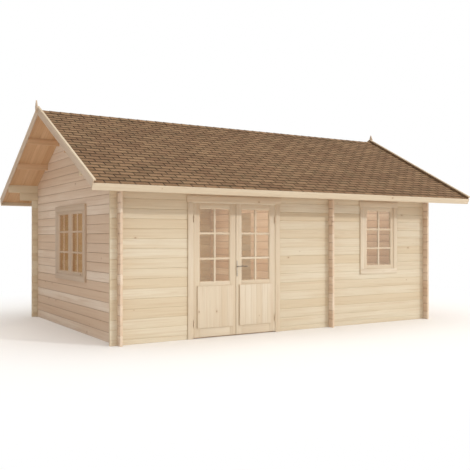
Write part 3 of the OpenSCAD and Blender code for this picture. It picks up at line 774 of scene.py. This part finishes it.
def ridge_caps():
    """Cap shingles bent over the ridge, each lying on the next."""
    slopes = Slope("front_shingles"), Slope("rear_shingles")
    low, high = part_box("ridge_cap")
    flap = (high.y - low.y) / 2 / slopes[0].up.z
    sheets = Sheets("ridge_cap")
    count = math.ceil((high.x - low.x) / CAP_STEP)
    step = (high.x - low.x) / count
    base = 2 * SHINGLE_T
    for i in range(count):
        x0 = low.x + i * step
        x1 = min(x0 + step * CAP_COVER, high.x)
        rows = []
        for x, lift in ((x0, SHINGLE_T * CAP_LIFT), (x1, 0.0 if x1 < high.x else SHINGLE_T)):
            outer = []
            inner = []
            wide = flap + sheets.draw.uniform(-CAP_FRAY, 0.0)
            downs = wide, wide / 2, CAP_BEND
            for slope, order in zip(slopes, (downs, downs[::-1])):
                outer.extend(slope.at(x, q, base + lift + SHINGLE_T) for q in order)
                inner.extend(slope.at(x, q, base + lift) for q in order)
            rows.append(outer + inner[::-1])
        # Each cap darkens towards the end that the next cap lies on: painted shade.
        sheets.bent(rows, CAP_END_SHADE, sheets.draw.random())
    stand_in(sheets.piece("ridge_cap_shingles", SHINGLE), "shingle", "ridge_cap")


def upstands():
    """The covering turned up against the inner faces of the barge boards, under the strips."""
    sheets = Sheets("upstands")
    for side in ("front", "rear"):
        slope = Slope(side + "_shingles")
        top = upstand_top(slope)
        for verge, inward in ((slope.x0, 1), (slope.x1, -1)):
            rows = []
            for q in (UPSTAND_ENDS[0], slope.length - UPSTAND_ENDS[1]):
                near, far = verge + inward * SLIP, verge + inward * (SLIP + UPSTAND_T)
                ring = (far, 0.0), (far, top), (near, top), (near, 0.0)
                rows.append([slope.at(x, q, n) for x, n in ring])
            sheets.strip(rows, (0.0,) * 4, UPSTAND_TONE)
    stand_in(sheets.piece("roof_upstands", SHINGLE), "shingle", body=BODY_OF["ridge_cap"])


def upstand_top(slope):
    """Height of the barge boards' top over the roof boards, from their corners on this slope."""
    corners = [v.co for v in NODES["left_barge_boards"].data.vertices if v.co.y * slope.up.y > SLOPE_SIDE]
    return max(slope.up.dot(c) for c in corners) - slope.bottom - UPSTAND_DROP


for side in ("front", "rear"):
    roof_boards(side)
    shingles(side)
ridge_caps()
upstands()


def floor_boards(node):
    """Boards along the room, the first ones cut short beside the door's threshold where it stands in them."""
    low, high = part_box(node)
    sill_low, sill_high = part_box("door_frame")
    timber = Timber(node)
    notch = max(v.co.y for v in NODES["door_threshold"].data.vertices) + THRESHOLD_GAP
    pierced = low.x < sill_low.x < high.x
    count = round((high.y - low.y) / FLOOR_BOARD_W)
    lines = [low.y + (high.y - low.y) * i / count for i in range(count + 1)]
    if pierced:
        lines[1] = notch
    for start, end in zip(lines, lines[1:]):
        spans = [(low.x, high.x)]
        if pierced and end <= notch:
            spans = [(low.x, sill_low.x - DOOR_FRAME_GAP), (sill_high.x + DOOR_FRAME_GAP, high.x)]
        for x0, x1 in spans:
            timber.board((x0, start + FLOOR_GAP, low.z), (x1, end - FLOOR_GAP, high.z), 0, FLOOR_BEVEL)
    stand_in(timber.piece(node + "_boards", LOG), "board_spruce", node)


floor_boards("main_room_floor")
floor_boards("side_room_floor")


class Facing:
    """A wall's own frame: X to the right from outside, Y into the wall, Z up."""

    def __init__(self, turn):
        self.place = Matrix.Rotation(math.radians(turn), 4, "Z")

    def boxes(self, node):
        """Boxes of a node's solids in this frame, from left to right."""
        back = self.place.inverted()
        found = []
        for low, high in solid_boxes(node):
            ends = back @ low, back @ high
            found.append([Vector([pick(e[i] for e in ends) for i in range(3)]) for pick in (min, max)])
        return sorted(found, key=lambda box: box[0].x)

    def board(self, timber, low, high, axis, bevel=BOARD_BEVEL):
        """A board between corners in this frame, with its grain along that axis of it."""
        corners = self.place @ Vector(low), self.place @ Vector(high)
        part_low, part_high = [[pick(c[i] for c in corners) for i in range(3)] for pick in (min, max)]
        along = self.place.to_3x3() @ unit(axis)
        timber.board(part_low, part_high, max(range(3), key=lambda i: abs(along[i])), bevel)

    def bar(self, timber, outline, start, along, across, length, mitre=0.0, bevel=0.0):
        timber.bar(outline, length, self.place @ axes_frame(Vector(start), along, across), mitre, bevel)


FRONT = Facing(0)
LEFT = Facing(-90)


def glazing(facing, timber, light_low, light_high, glass_y, face_y, back_y, bars):
    """Bars that part a light into panes, and mitred beads round it, on both faces of the glass."""
    width = light_high.x - light_low.x
    height = light_high.z - light_low.z
    levels, bar_w, bar_deep = bars
    for outer, inner in ((face_y, glass_y[0]), (back_y, glass_y[1])):
        deep = outer - inner
        lean = bar_w * BAR_LEAN
        upright, level = [[(0.0, 0.0), (bar_w, 0.0), (bar_w - lean, top), (lean, top)]
                          for top in (deep * bar_deep, deep * bar_deep * LEVEL_BAR_DEEP)]
        start = (light_low.x + (width - bar_w) / 2, inner, light_low.z)
        facing.bar(timber, upright, start, unit(2), unit(0), height)
        for share in levels:
            start = (light_low.x, inner, light_low.z + height * share + bar_w / 2)
            facing.bar(timber, level, start, unit(0), -unit(2), width)
        for start, along, across, length in (
                ((light_low.x, inner, light_low.z), unit(0), unit(2), width),
                ((light_low.x, inner, light_high.z), unit(0), -unit(2), width),
                ((light_low.x, inner, light_low.z), unit(2), unit(0), height),
                ((light_high.x, inner, light_low.z), unit(2), -unit(0), height)):
            turned = along.cross(across).y
            outline = [(BEAD_W * wide, deep * high * turned) for wide, high in BEAD_OUTLINE]
            facing.bar(timber, outline, start, along, across, length, mitre=1.0)


def glazed_frame(facing, timber, box, glass, rails, bars):
    """Stiles, rails, bars and beads of a leaf or sash round one pane."""
    low, high = box
    light_low, light_high = glass
    facing.board(timber, low, (light_low.x, high.y, high.z), 2)
    facing.board(timber, (light_high.x, low.y, low.z), high, 2)
    for foot, head in rails:
        facing.board(timber, (light_low.x, low.y, foot), (light_high.x, high.y, head), 0)
    glazing(facing, timber, light_low, light_high, (light_low.y, light_high.y), low.y, high.y, bars)


def door_leaf(side):
    """One leaf with its glazing above and its boarded, raised panel below."""
    leaf, panel, glass = [f"{side}_door_{part}" for part in ("leaf", "panel", "glass")]
    low, high = FRONT.boxes(leaf)[0]
    light_low, light_high = FRONT.boxes(glass)[0]
    plate_low, plate_high = FRONT.boxes(panel)[0]
    lap = max(light_low.x - plate_low.x, 0.0)
    rails = [(low.z, plate_low.z + lap), (plate_high.z - lap, light_low.z), (light_high.z, high.z)]
    timber = Timber(leaf)
    glazed_frame(FRONT, timber, (low, high), (light_low, light_high), rails, FRONT_BARS)
    stand_in(timber.piece(leaf + "_joinery", TRIM), "trim_spruce", leaf)

    boards = Timber(panel)
    count = round((plate_high.x - plate_low.x) / PANEL_BOARD_W)
    wide = (plate_high.x - plate_low.x) / count
    proud = low.y - plate_low.y
    v = PANEL_JOINT
    outline = [(0.0, 0.0), (0.0, v - proud), (v, -proud), (wide - v, -proud), (wide, v - proud), (wide, 0.0)]
    for i in range(count):
        start = (plate_low.x + i * wide, low.y, plate_low.z)
        FRONT.bar(boards, outline, start, unit(2), unit(0), plate_high.z - plate_low.z, bevel=PANEL_BEVEL)
    back_low = light_low.x, low.y, plate_low.z + lap
    back_high = light_high.x, plate_high.y, plate_high.z - lap
    FRONT.board(boards, back_low, back_high, 2)
    stand_in(boards.piece(panel + "_boards", TRIM), "trim_spruce", panel)


for side in ("left", "right"):
    door_leaf(side)


HINGES = "frame_hinges", "left_leaf_hinges", "right_leaf_hinges"


def door_beads():
    """Beads from the casing down to the leaves, clear of the hinges, and the left leaf's meeting edge."""
    left, right = [FRONT.boxes(side + "_door_leaf")[0] for side in ("left", "right")]
    casing = FRONT.boxes("door_casing")
    head = max(low.z for low, _ in casing)
    inner = min(high.x for _, high in casing), max(low.x for low, _ in casing)
    back = casing[0][1].y - SLIP
    leaf_deep, casing_deep = left[0].y - back, casing[0][0].y + SLIP - back
    levels = [left[0].z]
    spans = [sorted({(round(low.z, 4), round(high.z, 4)) for low, high in solid_boxes(n)}) for n in HINGES]
    for halves in zip(*spans):
        levels += [min(low for low, _ in halves) - SLIP, max(high for _, high in halves) + SLIP]
    levels.append(left[1].z)
    wide = left[0].x - SLIP - inner[0]
    beads = Timber("door_beads")
    for foot, top in zip(levels[::2], levels[1::2]):
        FRONT.bar(beads, [(0.0, 0.0), (0.0, casing_deep), (wide, leaf_deep), (wide, 0.0)],
                  (inner[0], back, foot), unit(2), unit(0), top - foot)
        FRONT.bar(beads, [(0.0, 0.0), (0.0, casing_deep), (-wide, leaf_deep), (-wide, 0.0)],
                  (inner[1], back, foot), unit(2), unit(0), top - foot)
    high = head - left[1].z - SLIP
    FRONT.bar(beads, [(0.0, 0.0), (0.0, -casing_deep), (-high, -leaf_deep), (-high, 0.0)],
              (inner[0], back, head), unit(0), unit(2), inner[1] - inner[0])
    stand_in(beads.piece("door_beads", TRIM), "trim_spruce", body=BODY_OF["door_frame"])

    edge = Timber("meeting_edge")
    edge_low = left[1].x, left[0].y + SLIP, left[0].z
    edge_high = right[0].x - MEETING_GAP, back, left[1].z
    FRONT.board(edge, edge_low, edge_high, 2, EDGE_BEVEL)
    stand_in(edge.piece("meeting_edge", TRIM), "trim_spruce", body=BODY_OF["left_door_leaf"])


door_beads()


def window(facing, name, sash_node, bars, material):
    """Sashes and frame of a window, from the boxes of their solids."""
    sashes = facing.boxes(sash_node)
    panes = facing.boxes(name + "_glass")
    timber = Timber(sash_node)
    for box, glass in zip(sashes, panes):
        glazed_frame(facing, timber, box, glass, [(box[0].z, glass[0].z), (glass[1].z, box[1].z)], bars)
    stand_in(timber.piece(sash_node + "_joinery", material), "trim_spruce", sash_node)

    low, high = facing.boxes(name + "_frame")[0]
    wall = facing.boxes(name + "_casing")[0][1].y
    jambs = Timber(name + "_frame")
    foot, head = sashes[0][0].z - SASH_GAP, sashes[0][1].z + SASH_GAP
    left, right = sashes[0][0].x - SASH_GAP, sashes[-1][1].x + SASH_GAP
    facing.board(jambs, (low.x, wall, low.z), (left, high.y, high.z), 2)
    facing.board(jambs, (right, wall, low.z), (high.x, high.y, high.z), 2)
    facing.board(jambs, (left, wall, low.z), (right, high.y, foot), 0)
    facing.board(jambs, (left, wall, head), (right, high.y, high.z), 0)
    for before, after in zip(sashes, sashes[1:]):
        middle_low, middle_high = before[1].x + SASH_GAP, after[0].x - SASH_GAP
        facing.board(jambs, (middle_low, low.y, foot), (middle_high, high.y, head), 2)
    stand_in(jambs.piece(name + "_jambs", material), "trim_spruce", name + "_frame")


window(FRONT, "front_window", "front_window_sash", FRONT_BARS, TRIM)
window(LEFT, "gable_window", "gable_window_sashes", GABLE_BARS, DARKENED_TRIM)


def lathe(bm, rings, place, sides=TURNED_SIDES):
    """A turned solid: rings of radius and distance along place's X axis, closed at both ends."""
    loops = []
    turns = [math.tau * i / sides for i in range(sides)]
    for radius, along in rings:
        ring = [Vector((along, radius * math.cos(t), radius * math.sin(t))) for t in turns]
        loops.append([bm.verts.new(place @ point) for point in ring])
    skin(bm, loops)


def skin(bm, loops):
    """Joins loops of points in their order, and closes the first and the last."""
    for near, far in zip(loops, loops[1:]):
        for i in range(len(near)):
            j = (i + 1) % len(near)
            bm.faces.new((near[i], near[j], far[j], far[i]))
    bm.faces.new(loops[0][::-1])
    bm.faces.new(loops[-1])


def metal_piece(name, bm, material, slot, *nodes):
    bmesh.ops.recalc_face_normals(bm, faces=bm.faces)
    mesh = bpy.data.meshes.new(name)
    bm.to_mesh(mesh)
    bm.free()
    stand_in(smooth_object(name, mesh, material), slot, *nodes)


def rounded_plate(bm, low, high, front, place):
    """A plate with round ends and a softened rim: low and high are its corners in X and Z."""
    half = (high.x - low.x) / 2
    outline = []
    for centre, start in ((high.z - half, 0.0), (low.z + half, math.pi)):
        for i in range(PLATE_ARC + 1):
            turn = start + math.pi * i / PLATE_ARC
            outline.append((low.x + half + half * math.cos(turn), centre + half * math.sin(turn)))
    middle = Vector(((low.x + high.x) / 2, (low.z + high.z) / 2))
    loops = []
    for shrink, depth in PLATE_RIM:
        inset = half * (1 - shrink)
        loop = []
        for x, z in outline:
            away = Vector((x, z)) - middle
            side = math.copysign(min(abs(away.x), inset), away.x)
            up = math.copysign(inset, away.y)
            loop.append(bm.verts.new(place @ Vector((x - side, front * depth, z - up))))
        loops.append(loop)
    skin(bm, loops)


def handles():
    """Plates with keyholes and screws on both faces of the right leaf, and the sprung levers."""
    spindle = JOINTS["handle_turn"]
    plates = bmesh.new()
    for low, high in solid_boxes("handle_plates"):
        outward = -1 if low.y < spindle.y else 1
        seat = high.y if outward < 0 else low.y
        thick = (high.y - low.y) * outward
        inset = Vector((PLATE_INSET, 0.0, 0.0))
        rounded_plate(plates, low + inset, high - inset, thick, Matrix.Translation((0.0, seat, 0.0)))
        face = seat + thick
        middle = (low.x + high.x) / 2
        turned = [(middle, low.z + SCREW_FROM_END, SCREW, SCREW_SIDES),
                  (middle, high.z - SCREW_FROM_END, SCREW, SCREW_SIDES),
                  (spindle.x, spindle.z, COLLAR, TURNED_SIDES),
                  (middle, spindle.z - KEYHOLE_BELOW, KEYHOLE, TURNED_SIDES)]
        for x, z, rings, sides in turned:
            lathe(plates, rings, axes_frame(Vector((x, face, z)), Vector((0, outward, 0)), unit(2)), sides)
    metal_piece("handle_backplates", plates, NICKEL, "handle_metal", "handle_plates")

    lever = bmesh.new()
    low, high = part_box("door_handle")
    radius = spindle.x - low.x
    across = axes_frame(Vector((spindle.x, low.y, spindle.z)), unit(1), unit(2))
    total = high.y - low.y
    tip = [(radius * share, along) for share, along in SPINDLE_TIP]
    lathe(lever, tip + [(ring, total - along) for ring, along in tip[::-1]], across)
    thick = (high.z - low.z) / 2
    reach = high.x - spindle.x
    grip = [(thick * share, reach * along) for share, along in GRIP_START]
    grip += [(thick * share, reach - back) for share, back in GRIP_END]
    for y in (low.y + thick, high.y - thick):
        lathe(lever, grip, axes_frame(Vector((spindle.x, y, spindle.z)), unit(0), unit(2)))
    metal_piece("lever_handles", lever, LEVER, "handle_metal", "door_handle")


handles()

GLASS = "left_door_glass", "right_door_glass", "front_window_glass", "gable_window_glass"
for nodes, material in ((HINGES, STEEL), (GLASS, PANE)):
    for node in nodes:
        NODES[node].data.materials.clear()
        NODES[node].data.materials.append(material)


def pale_floor():
    """A pale floor with the chalet's shadow, white further off, that mirrors show as they show the sky."""
    g = Graph(bpy.data.materials.new("pale_floor"))
    place = g.node("TexCoord").outputs["Object"]
    far = g.vector("LENGTH", g.vector("MULTIPLY", place, FLOOR_SHARES))
    path = g.node("LightPath")
    seen = g.math("MAXIMUM", path.outputs["Is Camera Ray"], path.outputs["Is Transmission Ray"])
    share = g.math("MULTIPLY", g.rise(far, *FLOOR_FADE), seen)
    ground = g.node("BsdfDiffuse", {"Color": FLOOR_COLOUR})
    white = g.node("Emission", {"Color": WHITE, "Strength": 1.0})
    back = g.rise(g.node("SeparateXYZ", {0: place}).outputs["Y"], *FLOOR_TURN)
    mirrored = g.node("Emission", {"Color": g.mix(back, MIRRORED_FRONT, MIRRORED_BACK), "Strength": 1.0})
    in_mirrors = path.outputs["Is Glossy Ray"]
    ground = g.node("MixShader", {0: in_mirrors, 1: ground.outputs[0], 2: mirrored.outputs[0]})
    material = g.finish(g.node("MixShader", {0: share, 1: ground.outputs[0], 2: white.outputs[0]}))
    bpy.ops.mesh.primitive_circle_add(vertices=96, radius=FLOOR_R, fill_type="NGON", location=(0, 0, 0))
    floor = bpy.context.object
    floor.name = "floor"
    floor.data.materials.append(material)


def light():
    """A soft sun from the right front, and a sky, brightest overhead, that the camera sees as white."""
    lamp = bpy.data.lights.new("sun", "SUN")
    lamp.energy = SUN_LEVEL
    lamp.angle = SUN_SPREAD
    sun = bpy.data.objects.new("sun", lamp)
    sun.rotation_euler = TO_SUN.to_track_quat("Z", "Y").to_euler()
    bpy.context.scene.collection.objects.link(sun)

    world = bpy.data.worlds.new("studio")
    bpy.context.scene.world = world
    g = Graph(world, "OutputWorld")
    way = g.node("TexCoord").outputs["Generated"]
    parts = g.node("SeparateXYZ", {0: way}).outputs
    sunward = g.vector("DOT_PRODUCT", way, Vector((TO_SUN.x, TO_SUN.y, 0.0)).normalized())
    level = g.math("ADD", SKY_LEVEL, g.math("MULTIPLY", sunward, SKY_SUNWARD))
    level = g.math("MAXIMUM", level, 0.0)
    overhead = g.math("MULTIPLY", g.math("MULTIPLY", parts["Z"], parts["Z"]), SKY_OVERHEAD)
    level = g.math("ADD", level, overhead)
    grey = g.node("CombineXYZ", {0: level, 1: level, 2: level}).outputs[0]
    sky = g.vector("MULTIPLY", grey, SKY_TINT)
    mirrored = g.mix(g.rise(parts["Y"], *MIRROR_TURN), MIRRORED_FRONT, MIRRORED_BACK)
    path = g.node("LightPath")
    sky = g.mix(path.outputs["Is Glossy Ray"], sky, mirrored)
    sky = g.mix(path.outputs["Is Camera Ray"], sky, WHITE)
    g.finish(g.node("Background", {"Color": sky}))


def room_lamps():
    """A broad lamp over each room, above the heads of the windows."""
    for node, watts in ROOM_WATTS.items():
        low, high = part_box(node)
        lamp = bpy.data.lights.new(node + "_lamp", "AREA")
        lamp.shape = "RECTANGLE"
        lamp.size = (high.x - low.x) * LAMP_SHARE
        lamp.size_y = (high.y - low.y) * LAMP_SHARE
        lamp.energy = watts * lamp.size * lamp.size_y
        lamp.color = ROOM_LIGHT
        made = bpy.data.objects.new(node + "_lamp", lamp)
        made.location = ((low.x + high.x) / 2, (low.y + high.y) / 2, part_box("front_wall_top")[1].z)
        bpy.context.scene.collection.objects.link(made)


def camera():
    """The photograph's camera."""
    data = bpy.data.cameras.new("camera")
    data.sensor_width = SENSOR_MM
    data.lens = LENS_MM
    made = bpy.data.objects.new("camera", data)
    made.location = CAMERA_AT
    made.rotation_euler = (math.radians(90 + CAMERA_PITCH), 0.0, -math.radians(CAMERA_YAW))
    bpy.context.scene.collection.objects.link(made)
    bpy.context.scene.camera = made


pale_floor()
light()
room_lamps()
camera()
bpy.context.scene.view_settings.view_transform = "Standard"

bpy.context.view_layer.update()
